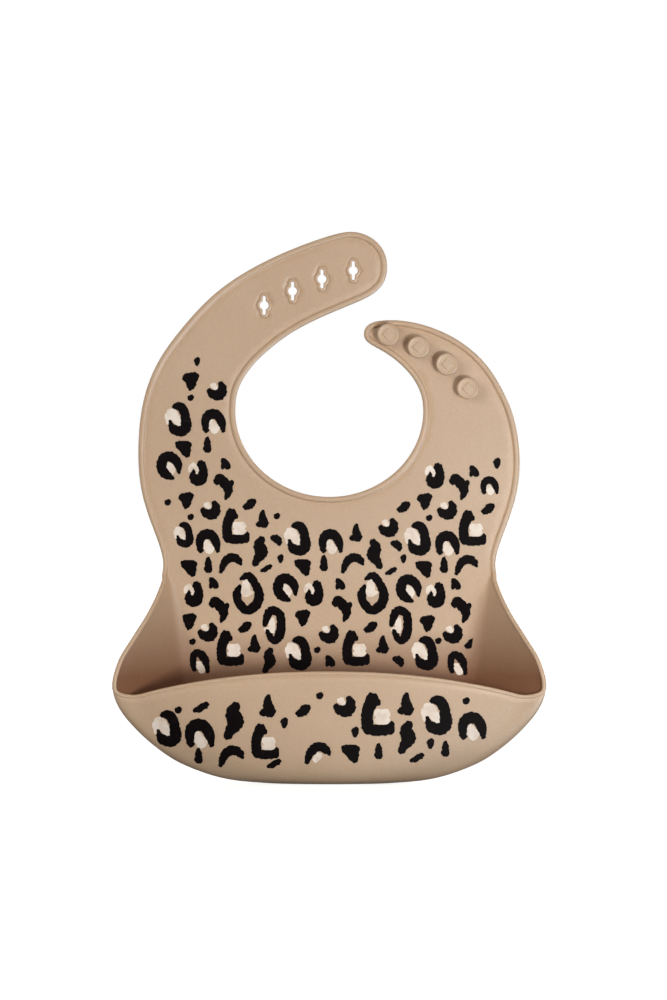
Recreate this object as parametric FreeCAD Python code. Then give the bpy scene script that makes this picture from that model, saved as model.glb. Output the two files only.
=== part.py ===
import FreeCAD, Part
import math
import os

V = FreeCAD.Vector

# A silicone bib: a flat chest panel with two neck straps and a scoop pocket.
# X runs across, Y from the front of the bib to its back, Z up. The flat back lies in Y = 0, and the
# origin is on it, on the middle line, ORIGIN_H above the lowest point of the pocket. Plan outlines
# are given as (across, height above the lowest point), in millimetres.

ORIGIN_H = 140.0        # height of the origin above the lowest point of the pocket
WALL = 1.6              # silicone wall
EDGE_W = 3.2            # width of the raised edge round the outline
EDGE_T = 2.8            # its thickness, front to back
GAP = 0.05              # clearance between neighbouring curved solids
FOLD_GAP = 0.5          # clearance along the folds where the side walls leave the flat back
CUTTER = 400.0          # larger than the bib, for cutting blocks
OUTLINE_STEPS = 90      # points along each stretch of the inset outline

NECK_MID = (0.0, 202.5)     # centre of the lower half of the neck opening
NECK_RX = 51.2
NECK_RZ = 47.0

WAIST = 90.6            # half width of the bib at its waist
WAIST_H = 124.0         # bending line between chest and lower panel
STRAP_H = 180.0         # bending line of both neck straps
FLEX = 4.0              # half height of each bending zone
FOLD_MID = (-54.6, 247.0)   # middle of the bending line near the end of the hole strap
FOLD_TURN = math.radians(-32.1)     # direction of that line, across the strap

HOLES = [(-35.5, 259.9), (-20.0, 267.7), (-4.0, 274.3), (13.1, 278.9)]
HOLE_R = 2.4            # round part of a button hole
SLOT_W = 1.6
SLOT_L = 10.4
LIP_W = 1.65            # width of the raised lip round a button hole
LIP_T = 2.6             # its thickness, front to back

STUDS = [(32.0, 243.8), (48.5, 236.9), (64.0, 227.7), (75.4, 214.5)]
CAP_R = 6.05
CAP_T = 2.6
STEM_R = 2.6
ROOT_R = 3.4            # foot of the stem, where it spreads into the strap
STUD_H = 7.6            # from the strap's face to the top of the cap
CAP_ROUND = 0.8
RING_W = 1.1            # rounded rim of the cap
RING_H = 0.3
BADGE = 4.9             # side of the plain raised square on the cap
BADGE_TURN = 45.0

MOUTH_H = 48.6          # height of the pocket rim at its corners
MOUTH_RISE = 13.2       # how much the rim arches up at the middle
RIM_D = 2.4             # diameter of the bead on the pocket rim
FLOOR_H = 12.0          # the pocket walls stand on the curved floor at this height
FRONT_SPAN = 0.965      # share of the half width that the front wall covers
FLOOR_SPAN = 0.94       # share of the half width that the floor covers
OUTLINE_LOW = 100.0     # the flat outline is drawn down to here
BEYOND_NECK = 30.0      # across from here, everything at strap height belongs to the stud strap
STUD_ZONE = (15.0, 256.0)   # the stud strap lies across from the first and below the second
END_REACH = 200.0       # longer than the end of the hole strap
END_HALF = 60.0         # more than half its width

# Heights at which the pocket's plan is known: height, half width of the flat back,
# half width at the side fold or free edge, its depth in front of the back.
SIDE_STATIONS = [
    (12.0, 64.0, 85.0, 20.0),
    (20.0, 71.0, 96.0, 24.5),
    (30.0, 76.0, 105.5, 29.0),
    (42.0, 79.0, 113.5, 34.0),
    (54.0, 80.0, 117.6, 37.6),
    (66.0, 80.0, 114.6, 34.5),
    (80.0, 80.0, 106.6, 26.5),
    (92.0, 80.7, 99.3, 18.6),
    (104.0, 83.2, 94.0, 10.5),
    (111.0, 86.2, 91.6, 5.0),
]
# height and depth of the front wall on the middle line
FRONT_STATIONS = [(12.0, 36.0), (20.0, 39.5), (30.0, 43.0), (42.0, 45.6), (54.0, 47.4), (64.0, 48.2)]


def at(x, h, y=0.0):
    """A point of the model from its height above the lowest point."""
    return V(x, y, h - ORIGIN_H)


def between(rows, column, h):
    """Smooth value of one column of a station list at height h (Catmull-Rom)."""
    last = len(rows) - 1
    i = 0
    while i < last - 1 and rows[i + 1][0] < h:
        i += 1
    h0, h1 = rows[i][0], rows[i + 1][0]
    t = (h - h0) / (h1 - h0)
    p1, p2 = rows[i][column], rows[i + 1][column]
    p0 = rows[i - 1][column] if i > 0 else 2 * p1 - p2
    p3 = rows[i + 2][column] if i + 2 <= last else 2 * p2 - p1
    h_0 = rows[i - 1][0] if i > 0 else 2 * h0 - h1
    h_3 = rows[i + 2][0] if i + 2 <= last else 2 * h1 - h0
    m1 = (p2 - p0) / (h1 - h_0) * (h1 - h0)
    m2 = (p3 - p1) / (h_3 - h0) * (h1 - h0)
    a = 2 * t ** 3 - 3 * t ** 2 + 1
    b = t ** 3 - 2 * t ** 2 + t
    return a * p1 + b * m1 + (1 - a) * p2 + (t ** 3 - t ** 2) * m2


def through(points):
    """Smooth curve through points of the model."""
    curve = Part.BSplineCurve()
    curve.interpolate(points)
    return curve.toShape()


def spline(points):
    return through([at(x, h) for x, h in points])


def slab(face, y_front, y_back=0.0):
    """A flat face in Y = 0 made into a plate between two depths."""
    moved = face.translated(V(0, y_back, 0))
    return moved.extrude(V(0, y_front - y_back, 0))


def block(x0, x1, h0, h1):
    box = Part.makeBox(x1 - x0, CUTTER, h1 - h0)
    box.translate(V(x0, -CUTTER / 2, h0 - ORIGIN_H))
    return box


def one(shape):
    """The single solid of a shape, cleaned of split faces."""
    solid = max(shape.Solids, key=lambda s: s.Volume)
    return solid.removeSplitter()


# ---------------------------------------------------------------- flat outline

def outline_edges():
    """The flat bib's outline from just below the waist, round both straps and the neck opening."""
    left = [(-WAIST, OUTLINE_LOW), (-WAIST, 117.0), (-94.9, 136.0), (-101.2, 154.5), (-103.9, 172.0),
            (-103.9, 188.0), (-101.2, 208.4), (-93.9, 228.0), (-80.2, 247.6), (-61.1, 267.3),
            (-41.5, 280.4), (-12.6, 293.5), (1.5, 298.2), (12.5, 300.0), (22.5, 297.0),
            (29.5, 289.8), (31.6, 281.0), (29.3, 271.8), (23.5, 266.0), (14.0, 261.2),
            (-1.7, 254.6), (-15.3, 248.0), (-25.7, 241.5), (-33.9, 234.9), (-41.0, 228.0),
            (-46.2, 221.0), (-49.2, 215.2), (-50.8, 209.0), (-NECK_RX, 202.5)]
    right = [(NECK_RX, 202.5), (50.6, 209.0), (48.5, 215.2), (44.7, 221.5), (38.4, 228.2),
             (29.4, 234.8), (23.0, 238.4), (19.4, 241.8), (19.2, 246.6), (22.4, 250.0),
             (28.5, 251.6), (39.0, 251.6), (59.0, 246.6), (72.5, 239.4), (85.0, 228.2),
             (93.8, 214.9), (99.6, 201.8), (102.8, 188.0), (103.9, 172.0), (101.2, 154.5),
             (94.9, 136.0), (WAIST, 117.0), (WAIST, OUTLINE_LOW)]
    middle = at(*NECK_MID)
    neck = Part.Ellipse(middle + V(NECK_RX, 0, 0), middle - V(0, 0, NECK_RZ), middle)
    lower_half = Part.Arc(neck, 0.0, math.pi).toShape()
    return [spline(left), lower_half, spline(right)]


def closed_face(edges):
    """The plane face inside open edges that are closed by one straight line."""
    chain = Part.Wire(Part.__sortEdges__(edges))
    ends = [v.Point for v in chain.OrderedVertexes]
    closing = Part.makeLine(ends[-1], ends[0])
    return Part.Face(Part.Wire(Part.__sortEdges__(list(chain.Edges) + [closing])))


def inset_edges(edges, face, distance):
    """The outline moved inwards over the face by a distance."""
    moved = []
    for edge in edges:
        span = edge.LastParameter - edge.FirstParameter
        half_way = edge.FirstParameter + span / 2
        along = edge.tangentAt(half_way)
        probe = edge.valueAt(half_way) + V(along.z, 0, -along.x)
        turn = 1 if face.isInside(probe, GAP, False) else -1
        points = []
        for i in range(OUTLINE_STEPS + 1):
            t = edge.FirstParameter + span * i / OUTLINE_STEPS
            along = edge.tangentAt(t)
            points.append(edge.valueAt(t) + V(along.z, 0, -along.x) * turn * distance)
        moved.append(points)
    for before, after in ((0, 1), (1, 2)):
        pairs = [(i, j) for i in (0, -1) for j in (0, -1)]
        i, j = min(pairs, key=lambda p: (moved[before][p[0]] - moved[after][p[1]]).Length)
        shared = (moved[before][i] + moved[after][j]) * 0.5
        moved[before][i] = shared
        moved[after][j] = shared
    return [through(points) for points in moved]


# ---------------------------------------------------------------- button holes

def keyhole(middle, spare):
    """Plan of a button hole, a round hole crossed by an upright slot, grown by spare all round."""
    radius = HOLE_R + spare
    half = SLOT_W / 2 + spare
    reach = SLOT_L / 2 + spare - half
    round_part = Part.makeCylinder(radius, 1.0)
    slot = Part.makeBox(2 * half, 2 * reach, 1.0, V(-half, -reach, 0))
    ends = [Part.makeCylinder(half, 1.0, V(0, side * reach, 0)) for side in (-1, 1)]
    prism = round_part.multiFuse([slot] + ends).removeSplitter()
    prism.rotate(V(0, 0, 0), V(1, 0, 0), 90)
    prism.translate(at(*middle))
    return prism


def keyhole_prism(middle, spare, y_front, y_back=0.0):
    prism = keyhole(middle, spare)
    base = min(prism.Faces, key=lambda f: f.CenterOfMass.y)
    return slab(base.translated(V(0, -base.CenterOfMass.y, 0)), y_front, y_back)


def stud(middle):
    """A button: spread foot, stem and round cap with a raised rim and a plain raised square."""
    under = STUD_H - CAP_T
    foot = ROOT_R - STEM_R
    rim_in = CAP_R - RING_W
    curve = [(0, 0), (ROOT_R, 0), (STEM_R, foot), (STEM_R, under), (CAP_R - CAP_ROUND / 2, under),
             (CAP_R, under + CAP_ROUND / 2), (CAP_R, STUD_H - CAP_ROUND),
             (CAP_R - CAP_ROUND / 3, STUD_H - CAP_ROUND / 3), (CAP_R - CAP_ROUND, STUD_H),
             (rim_in, STUD_H), (rim_in - RING_H, STUD_H - RING_H), (0, STUD_H - RING_H), (0, 0)]
    wire = Part.makePolygon([V(r, 0, z) for r, z in curve])
    turned = Part.Face(wire).revolve(V(0, 0, 0), V(0, 0, 1), 360)
    square = Part.makeBox(BADGE, BADGE, RING_H, V(-BADGE / 2, -BADGE / 2, 0))
    square.rotate(V(0, 0, 0), V(0, 0, 1), BADGE_TURN)
    square.translate(V(0, 0, STUD_H - RING_H))
    body = turned.fuse(square)
    body.rotate(V(0, 0, 0), V(1, 0, 0), 90)
    body.translate(at(middle[0], middle[1], -WALL))
    return one(body)


# ---------------------------------------------------------------- curved walls

def smooth_surface(rows):
    surface = Part.BSplineSurface()
    surface.interpolate(rows)
    return surface


def thick_wall(point, us, vs, inward):
    """A solid wall from a point function of u and v, thickened by WALL towards inward(u, v)."""
    step = 0.01
    outside = [[point(u, v) for v in vs] for u in us]
    inside = []
    for u in us:
        row = []
        for v in vs:
            du = point(u + step, v) - point(u - step, v)
            dv = point(u, v + step) - point(u, v - step)
            normal = du.cross(dv).normalize()
            if normal.dot(inward(u, v)) < 0:
                normal = -normal
            row.append(point(u, v) + normal * WALL)
        inside.append(row)
    faces = [smooth_surface(outside), smooth_surface(inside)]
    shells = [f.toShape() for f in faces]
    for iso, ends in (("uIso", (0, 1)), ("vIso", (0, 1))):
        for end in ends:
            bounds = faces[0].bounds()
            value = bounds[end] if iso == "uIso" else bounds[2 + end]
            pair = [getattr(f, iso)(value).toShape() for f in faces]
            shells.append(Part.makeRuledSurface(*pair))
    shell = Part.makeShell(shells)
    shell.sewShape()
    solid = Part.makeSolid(Part.makeShell(shell.Faces))
    if solid.Volume < 0:
        solid.reverse()
    return solid


def side_width(h):
    return between(SIDE_STATIONS, 2, h)


def side_depth(h):
    return between(SIDE_STATIONS, 3, h)


def fold_width(h):
    return between(SIDE_STATIONS, 1, h)


def front_depth(h):
    return between(FRONT_STATIONS, 1, h)


def mouth(s):
    """Height of the pocket rim at the share s of the half width."""
    return MOUTH_H + MOUTH_RISE * (1 - s * s)


def front_point(s, h):
    """Outer face of the front wall."""
    side = side_depth(h)
    return at(s * side_width(h), h, -(side + (front_depth(h) - side) * (1 - s * s)))


def front_wall():
    """The front wall, from the floor's edge up to the bead on the rim."""
    top_gap = RIM_D / 2

    def point(u, v):
        s = u * FRONT_SPAN
        low = FLOOR_H + GAP
        return front_point(s, low + v * (mouth(s) - top_gap - low))

    us = [i / 6.0 for i in range(-6, 7)]
    vs = [i / 6.0 for i in range(7)]
    return thick_wall(point, us, vs, lambda u, v: V(0, 1, 0.3))


def gusset_point(side, t, h):
    """Outer face of a side wall: t runs from the fold at the back to the free edge."""
    fold = fold_width(h)
    edge = side_width(h)
    depth = side_depth(h)
    bend = 0.25 * (edge - fold)
    x = (1 - t) ** 2 * fold + 2 * t * (1 - t) * (fold + bend) + t ** 2 * edge
    return at(side * x, h, -t ** 2 * depth)


def gusset(side):
    """Side wall of the pocket, from the floor's edge to just under the waist."""
    low = FLOOR_H + GAP
    high = SIDE_STATIONS[-1][0]

    def point(u, v):
        h = low + v * (high - low)
        width = math.hypot(side_width(h) - fold_width(h), side_depth(h))
        first = 3 * GAP / width
        last = 1 - (RIM_D + 2 * GAP) / width
        return gusset_point(side, first + u * (last - first), h)

    us = [i / 5.0 for i in range(6)]
    vs = [i / 12.0 for i in range(13)]
    return thick_wall(point, us, vs, lambda u, v: V(-side, -0.6, 0))


def bead(points):
    """A round bead along a curve."""
    curve = Part.BSplineCurve()
    curve.interpolate(points)
    start = curve.parameter(points[0])
    ring = Part.Circle(points[0], curve.tangent(start)[0], RIM_D / 2).toShape()
    return Part.Wire(curve.toShape()).makePipeShell([Part.Wire(ring)], True, True)


def gusset_bead(side):
    """The bead on a side wall's free edge, from the waist down to the floor's edge."""
    top = WAIST_H - FLEX - FOLD_GAP
    across = side * (WAIST - RIM_D / 2)
    points = [at(across, top, -RIM_D / 2), at(across, 116.0, -RIM_D / 2 - 0.3)]
    for h in (110.0, 104.0, 92.0, 80.0, 66.0, 54.0, 42.0, 30.0, 20.0, FLOOR_H + 1.0):
        edge = gusset_point(side, 1.0, h)
        along = (edge - gusset_point(side, 0.9, h)).normalize()
        inward = V(side * along.y, -side * along.x, 0)
        points.append(edge - along * (RIM_D / 2) + inward * (WALL / 2))
    return bead(points)


def mouth_bead(wall):
    """The bead along the front wall's upper edge."""
    points = []
    for i in range(-6, 7):
        s = FRONT_SPAN * i / 6.0
        rim = front_point(s, mouth(s) - RIM_D / 2)
        points.append(rim + V(0, WALL / 2, RIM_D / 2 + GAP))
    return one(bead(points).cut(wall))


def floor_section(x):
    """Cross-section of the pocket floor in a plane of constant x."""
    half = side_width(FLOOR_H)
    s = x / half
    bottom = FLOOR_H * abs(s) ** 3.5
    fold = fold_width(FLOOR_H)
    slope = max(abs(x) - fold, 0.0) / (half - fold)
    back = -side_depth(FLOOR_H) * slope ** 1.5
    front = -front_depth(FLOOR_H) + (front_depth(FLOOR_H) - side_depth(FLOOR_H)) * s * s
    mid = (back + front) / 2
    reach = (back - front) / 2
    drop = FLOOR_H - bottom
    outer, inner = [], []
    for i in range(7):
        a = math.pi * i / 6.0
        outer.append(at(x, FLOOR_H - drop * math.sin(a), mid + reach * math.cos(a)))
        inner.append(at(x, FLOOR_H - max(drop - WALL, 0.2) * math.sin(a),
                        mid + (reach - WALL) * math.cos(a)))
    return Part.Wire([through(outer), Part.makeLine(outer[-1], inner[-1]), through(inner),
                      Part.makeLine(inner[0], outer[0])])


def pocket_floor():
    """The rounded floor that joins the back of the pocket to its front wall."""
    half = side_width(FLOOR_H)
    stations = [FLOOR_SPAN * half * i / 5.0 for i in range(-5, 6)]
    return Part.makeLoft([floor_section(x) for x in stations], True, False)


def lower_panel():
    """The flat back of the pocket, narrowing to the floor, up to the waist."""
    top = WAIST_H - FLEX
    heights = [row[0] for row in SIDE_STATIONS]
    left = [(FOLD_GAP - fold_width(h), h) for h in heights]
    right = [(fold_width(h) - FOLD_GAP, h) for h in heights]
    waist = WAIST - RIM_D - FOLD_GAP
    wide = heights[-1] + 3.0
    outline = left + [(-waist, wide), (-waist, top), (waist, top), (waist, wide)] + right[::-1]
    wire = Part.makePolygon([at(x, h) for x, h in outline] + [at(*outline[0])])
    return slab(Part.Face(wire), -WALL)


# ---------------------------------------------------------------- the flat zones

def plan_block(middle, along, length, half):
    """A block standing on a rectangle: it starts at middle and runs along the given direction."""
    direction = V(along[0], 0, along[1]).normalize()
    across = V(-direction.z, 0, direction.x) * half
    start = at(*middle)
    end = start + direction * length
    wire = Part.makePolygon([start - across, end - across, end + across, start + across,
                             start - across])
    return slab(Part.Face(wire), -CUTTER / 2, CUTTER / 2)


def sorted_solids(shape, key):
    return [s.removeSplitter() for s in sorted(shape.Solids, key=key)]


def centre_x(solid):
    return solid.CenterOfMass.x


def flat_parts():
    """Every node of the flat bib above the waist, by name."""
    outline = outline_edges()
    plan = closed_face(outline)
    inset = closed_face(inset_edges(outline, plan, EDGE_W))
    panel = slab(inset, -WALL)
    edge = slab(plan, -EDGE_T).cut(slab(inset, -EDGE_T - 1.0, 1.0))

    chest = block(-CUTTER, CUTTER, WAIST_H + FLEX, STRAP_H - FLEX)
    waist = block(-CUTTER, CUTTER, WAIST_H - FLEX, WAIST_H + FLEX)
    above = block(-CUTTER, 0.0, STRAP_H + FLEX, CUTTER)
    fold = block(-CUTTER, 0.0, STRAP_H - FLEX, STRAP_H + FLEX)
    end_dir = (-math.sin(FOLD_TURN), math.cos(FOLD_TURN))
    near = (FOLD_MID[0] - FLEX * end_dir[0], FOLD_MID[1] - FLEX * end_dir[1])
    far = (FOLD_MID[0] + FLEX * end_dir[0], FOLD_MID[1] + FLEX * end_dir[1])
    beyond_near = plan_block(near, end_dir, END_REACH, END_HALF)
    beyond_far = plan_block(far, end_dir, END_REACH, END_HALF)
    end_fold = plan_block(near, end_dir, 2 * FLEX, END_HALF)
    stud_side = block(BEYOND_NECK, CUTTER, STRAP_H - FLEX, STRAP_H + FLEX)
    stud_zone = block(STUD_ZONE[0], CUTTER, STRAP_H + FLEX, STUD_ZONE[1])
    left_part = beyond_near.cut(stud_zone)

    nodes = {}
    nodes["chest_panel"] = one(panel.common(chest))
    left, middle, right = sorted_solids(edge.common(chest), centre_x)
    nodes["chest_edge_left"] = left
    nodes["neck_edge"] = middle
    nodes["chest_edge_right"] = right
    nodes["waist_flexure"] = one(panel.fuse(edge).common(waist))

    strap = above.cut(beyond_near)
    nodes["hole_strap_panel"] = one(panel.common(strap))
    outer, inner = sorted_solids(edge.common(strap), centre_x)
    nodes["hole_strap_outer_edge"] = outer
    nodes["hole_strap_inner_edge"] = inner
    nodes["hole_strap_flexure"] = one(panel.fuse(edge).common(fold))

    end_zone = beyond_far.cut(stud_zone)
    end_panel = panel.common(end_zone)
    for i, middle_of_hole in enumerate(HOLES):
        end_panel = end_panel.cut(keyhole_prism(middle_of_hole, LIP_W, -CUTTER, CUTTER))
        lip = keyhole_prism(middle_of_hole, LIP_W, -LIP_T)
        lip = lip.cut(keyhole_prism(middle_of_hole, 0.0, -CUTTER, CUTTER))
        nodes["keyhole_lip_%d" % (i + 1)] = one(lip)
    nodes["hole_end_panel"] = one(end_panel)
    nodes["hole_end_edge"] = one(edge.common(end_zone))
    nodes["hole_end_flexure"] = one(panel.fuse(edge).common(end_fold).common(left_part))

    nodes["stud_strap_panel"] = one(panel.common(stud_zone))
    nodes["stud_strap_edge"] = one(edge.common(stud_zone))
    nodes["stud_strap_flexure"] = one(panel.fuse(edge).common(stud_side))
    for i, middle_of_stud in enumerate(STUDS):
        nodes["stud_%d" % (i + 1)] = stud(middle_of_stud)
    return nodes


def pocket_parts():
    """Every node of the scoop pocket, by name."""
    front = front_wall()
    nodes = {"lower_panel": lower_panel(), "pocket_floor": pocket_floor(),
             "pocket_front": front, "pocket_rim": mouth_bead(front)}
    for side, word in ((-1, "left"), (1, "right")):
        nodes["gusset_" + word] = gusset(side)
        nodes["gusset_rim_" + word] = gusset_bead(side)
    return nodes


os.makedirs("parts", exist_ok=True)
for name, shape in list(flat_parts().items()) + list(pocket_parts().items()):
    shape.exportStep("parts/%s.step" % name)
    print(name, len(shape.Solids), shape.isValid(), round(shape.Volume, 1))
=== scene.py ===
import math
import bmesh
import bpy
import numpy as np
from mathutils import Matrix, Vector, geometry, noise


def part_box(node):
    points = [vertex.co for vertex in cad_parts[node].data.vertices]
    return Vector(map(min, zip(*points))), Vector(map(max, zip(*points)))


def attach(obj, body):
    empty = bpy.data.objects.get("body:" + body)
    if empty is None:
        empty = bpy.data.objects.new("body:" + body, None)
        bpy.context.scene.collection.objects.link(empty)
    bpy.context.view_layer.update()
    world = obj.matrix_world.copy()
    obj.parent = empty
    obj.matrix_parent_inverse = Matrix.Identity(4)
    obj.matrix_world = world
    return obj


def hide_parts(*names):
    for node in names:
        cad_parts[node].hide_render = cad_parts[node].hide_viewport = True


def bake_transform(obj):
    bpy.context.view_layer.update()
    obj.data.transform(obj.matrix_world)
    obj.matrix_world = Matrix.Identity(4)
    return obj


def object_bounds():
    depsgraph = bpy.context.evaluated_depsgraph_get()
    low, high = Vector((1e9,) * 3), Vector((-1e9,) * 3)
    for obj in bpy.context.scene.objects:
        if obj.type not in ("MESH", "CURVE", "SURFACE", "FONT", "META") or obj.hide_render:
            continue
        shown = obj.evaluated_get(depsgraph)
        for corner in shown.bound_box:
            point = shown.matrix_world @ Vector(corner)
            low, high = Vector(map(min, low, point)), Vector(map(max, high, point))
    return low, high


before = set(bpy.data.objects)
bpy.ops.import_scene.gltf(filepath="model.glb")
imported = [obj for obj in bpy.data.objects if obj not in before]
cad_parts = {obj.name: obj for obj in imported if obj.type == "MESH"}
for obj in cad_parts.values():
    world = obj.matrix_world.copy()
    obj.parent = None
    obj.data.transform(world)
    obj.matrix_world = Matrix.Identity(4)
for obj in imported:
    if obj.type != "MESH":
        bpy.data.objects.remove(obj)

cad_low, cad_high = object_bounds()

# The bib stands upright: X across, Y from front to back, Z up. All shapes below are worked out in
# millimetres as (across, depth, height above the lowest point of the pocket) and put into the frame
# by mesh_object. The flat back is in depth 0, and depth grows negative towards the front.

MM = 0.001
LOWEST = cad_low.z / MM
WALL = 1.6                  # thickness of the silicone
WAIST_SEAM = 113.0          # where the flat chest skin meets the scoop skin
STRAP_SEAM = 158.0          # where the chest skin meets the strap skins
BEND_STRAP = (158.0, 202.0)     # heights given to bend_over for the straps
BEND_WAIST = (135.0, 113.0)     # heights given to bend_over for the waist
FOLD_MID = np.array((-54.6, 247.0))     # middle of the stretch near the end of the hole strap that the hole end's skin is split off at
FOLD_TURN = math.radians(-32.1)
FOLD_ALONG = np.array((-math.sin(FOLD_TURN), math.cos(FOLD_TURN)))
FOLD_REACH = 14.0           # half length of that stretch
STEP = 1.5                  # spacing of points along the outline
GRID = 3.2                  # spacing of points inside flat skins
ROW_SHARE = 0.87            # rows of a triangle grid lie this share of the spacing apart
EDGE_CLEAR = 0.45           # share of the spacing kept clear of points along the edge


def centre_of(node):
    """(across, height) of a CAD node's middle."""
    low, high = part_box(node)
    return ((low.x + high.x) / 2 / MM, (low.z + high.z) / 2 / MM - LOWEST)


# ------------------------------------------------------------------ curves

def ease(t):
    """A smooth step from 0 to 1 while t goes from 0 to 1."""
    t = np.clip(t, 0, 1)
    return t * t * (3 - 2 * t)


def spline(points, step):
    """Evenly spaced points on a natural cubic spline through the given points."""
    p = np.array(points, float)
    t = np.concatenate(((0.0,), np.cumsum(np.linalg.norm(np.diff(p, axis=0), axis=1))))
    n = len(p)
    gap = np.diff(t)
    matrix = np.zeros((n, n))
    right = np.zeros((n, p.shape[1]))
    matrix[0, 0] = matrix[-1, -1] = 1.0
    for i in range(1, n - 1):
        matrix[i, i - 1:i + 2] = gap[i - 1], 2 * (gap[i - 1] + gap[i]), gap[i]
        right[i] = 6 * ((p[i + 1] - p[i]) / gap[i] - (p[i] - p[i - 1]) / gap[i - 1])
    bend = np.linalg.solve(matrix, right)
    count = max(int(round(t[-1] / step)), 4)
    s = np.linspace(0.0, t[-1], count + 1)
    k = np.clip(np.searchsorted(t, s, side="right") - 1, 0, n - 2)
    h = gap[k][:, None]
    a = ((t[k + 1] - s)[:, None]) / h
    b = 1 - a
    curve = a * p[k] + b * p[k + 1]
    return curve + ((a ** 3 - a) * bend[k] + (b ** 3 - b) * bend[k + 1]) * h ** 2 / 6


def inward_normals(line):
    """Unit normals on the right-hand side of a plan line."""
    along = np.gradient(line, axis=0)
    along /= np.linalg.norm(along, axis=1)[:, None]
    return np.stack((along[:, 1], -along[:, 0]), axis=1)


def inside(points, loops):
    """Which points lie inside closed loops, with holes left out."""
    points = np.asarray(points, float)
    result = np.zeros(len(points), bool)
    for loop in loops:
        a = np.asarray(loop, float)
        b = np.roll(a, -1, axis=0)
        for (x0, y0), (x1, y1) in zip(a, b):
            if y0 == y1:
                continue
            crosses = (points[:, 1] < y0) != (points[:, 1] < y1)
            at = x0 + (points[:, 1] - y0) * (x1 - x0) / (y1 - y0)
            result ^= crosses & (points[:, 0] < at)
    return result


def fill(loops, grid, clear):
    """Triangles of the area inside loops, with inner points no nearer to the edge than clear.

    Gives (points, triangles); the loops' points come first."""
    edge = np.vstack(loops)
    low, high = edge.min(axis=0), edge.max(axis=0)
    rows = []
    for j, y in enumerate(np.arange(low[1] + grid / 2, high[1], grid * ROW_SHARE)):
        xs = np.arange(low[0] + grid * (0.25 + 0.5 * (j % 2)), high[0], grid)
        rows.append(np.stack((xs, np.full(len(xs), y)), axis=1))
    inner = np.vstack(rows) if rows else np.zeros((0, 2))
    inner = inner[inside(inner, loops)]
    if len(inner):
        gaps = np.linalg.norm(inner[:, None, :] - edge[None, :, :], axis=2).min(axis=1)
        inner = inner[gaps > clear]
    points = np.vstack((edge, inner))
    links = []
    first = 0
    for loop in loops:
        n = len(loop)
        links += [(first + i, first + (i + 1) % n) for i in range(n)]
        first += n
    found = geometry.delaunay_2d_cdt([Vector(p) for p in points], links, [], 0, 1e-7)
    source = [o[0] if o else -1 for o in found[3]]
    triangles = [tuple(source[v] for v in face) for face in found[2]]
    triangles = np.array([t for t in triangles if min(t) >= 0], int)
    middles = points[triangles].mean(axis=1)
    triangles = triangles[inside(middles, loops)]
    a, b, c = (points[triangles[:, i]] for i in range(3))
    area = np.cross(b - a, c - a)
    triangles[area < 0] = triangles[area < 0][:, ::-1]
    return points, triangles


class Builder:
    """Collects vertices and faces of one piece."""

    def __init__(self):
        self.points = []
        self.faces = []
        self.flat = set()

    def add(self, points):
        first = len(self.points)
        self.points += [tuple(p) for p in points]
        return np.arange(first, first + len(points))

    def grid(self, rows, closed=False):
        """Quads between rows of vertex indices."""
        for r, q in zip(rows[:-1], rows[1:]):
            n = len(r)
            for i in range(n if closed else n - 1):
                j = (i + 1) % n
                self.faces.append((r[i], r[j], q[j], q[i]))

    def cap(self, loop):
        self.flat.add(len(self.faces))
        self.faces.append(tuple(loop))


def mesh_object(name, builder, materials):
    """A mesh object in the frame. Faces are turned outwards, and caps keep sharp edges."""
    mesh = bpy.data.meshes.new(name)
    points = np.array(builder.points, float)
    points[:, 2] += LOWEST
    mesh.from_pydata((points * MM).tolist(), [], [tuple(int(i) for i in f) for f in builder.faces])
    shape = bmesh.new()
    shape.from_mesh(mesh)
    bmesh.ops.recalc_face_normals(shape, faces=shape.faces)
    shape.to_mesh(mesh)
    shape.free()
    smooth = [i not in builder.flat for i in range(len(builder.faces))]
    mesh.polygons.foreach_set("use_smooth", smooth)
    sharp = set()
    for i in builder.flat:
        f = builder.faces[i]
        sharp |= {frozenset((int(f[k]), int(f[(k + 1) % len(f)]))) for k in range(len(f))}
    if sharp:
        mesh.attributes.new("sharp_edge", "BOOLEAN", "EDGE").data.foreach_set(
            "value", [frozenset(e.vertices) in sharp for e in mesh.edges])
    obj = bpy.data.objects.new(name, mesh)
    bpy.context.scene.collection.objects.link(obj)
    for material in materials:
        mesh.materials.append(material)
    return obj


# ------------------------------------------------------------------ plan of the flat bib

NECK_MID = (0.0, 202.5)
NECK_RX = 51.2
NECK_RZ = 47.0

LEFT = [(-91.2, 113), (-90.6, 117.5), (-92.5, 128.5), (-97.6, 142.5), (-101.7, 156),
        (-103.8, 170), (-104, 186), (-101.2, 208.4), (-93.9, 228), (-80.2, 247.6),
        (-61.1, 267.3), (-41.5, 280.4), (-12.6, 293.5), (1.5, 298.2), (12.5, 300),
        (22.5, 297), (29.5, 289.8), (31.6, 281), (29.3, 271.8), (23.5, 266), (14, 261.2),
        (-1.7, 254.6), (-15.3, 248), (-25.7, 241.5), (-33.9, 234.9), (-41, 228),
        (-46.2, 221), (-49.2, 215.2), (-50.8, 209), (-NECK_RX, 202.5)]
RIGHT = [(NECK_RX, 202.5), (50.6, 209), (48.5, 215.2), (44.7, 221.5), (38.4, 228.2),
         (29.4, 234.8), (23, 238.4), (19.4, 241.8), (19.2, 246.6), (22.4, 250),
         (28.5, 251.6), (39, 251.6), (59, 246.6), (72.5, 239.4), (85, 228.2),
         (93.8, 214.9), (99.6, 201.8), (102.8, 188), (103.8, 172), (101.7, 156),
         (97.6, 142.5), (92.5, 128.5), (90.6, 117.5), (91.2, 113)]

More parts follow.
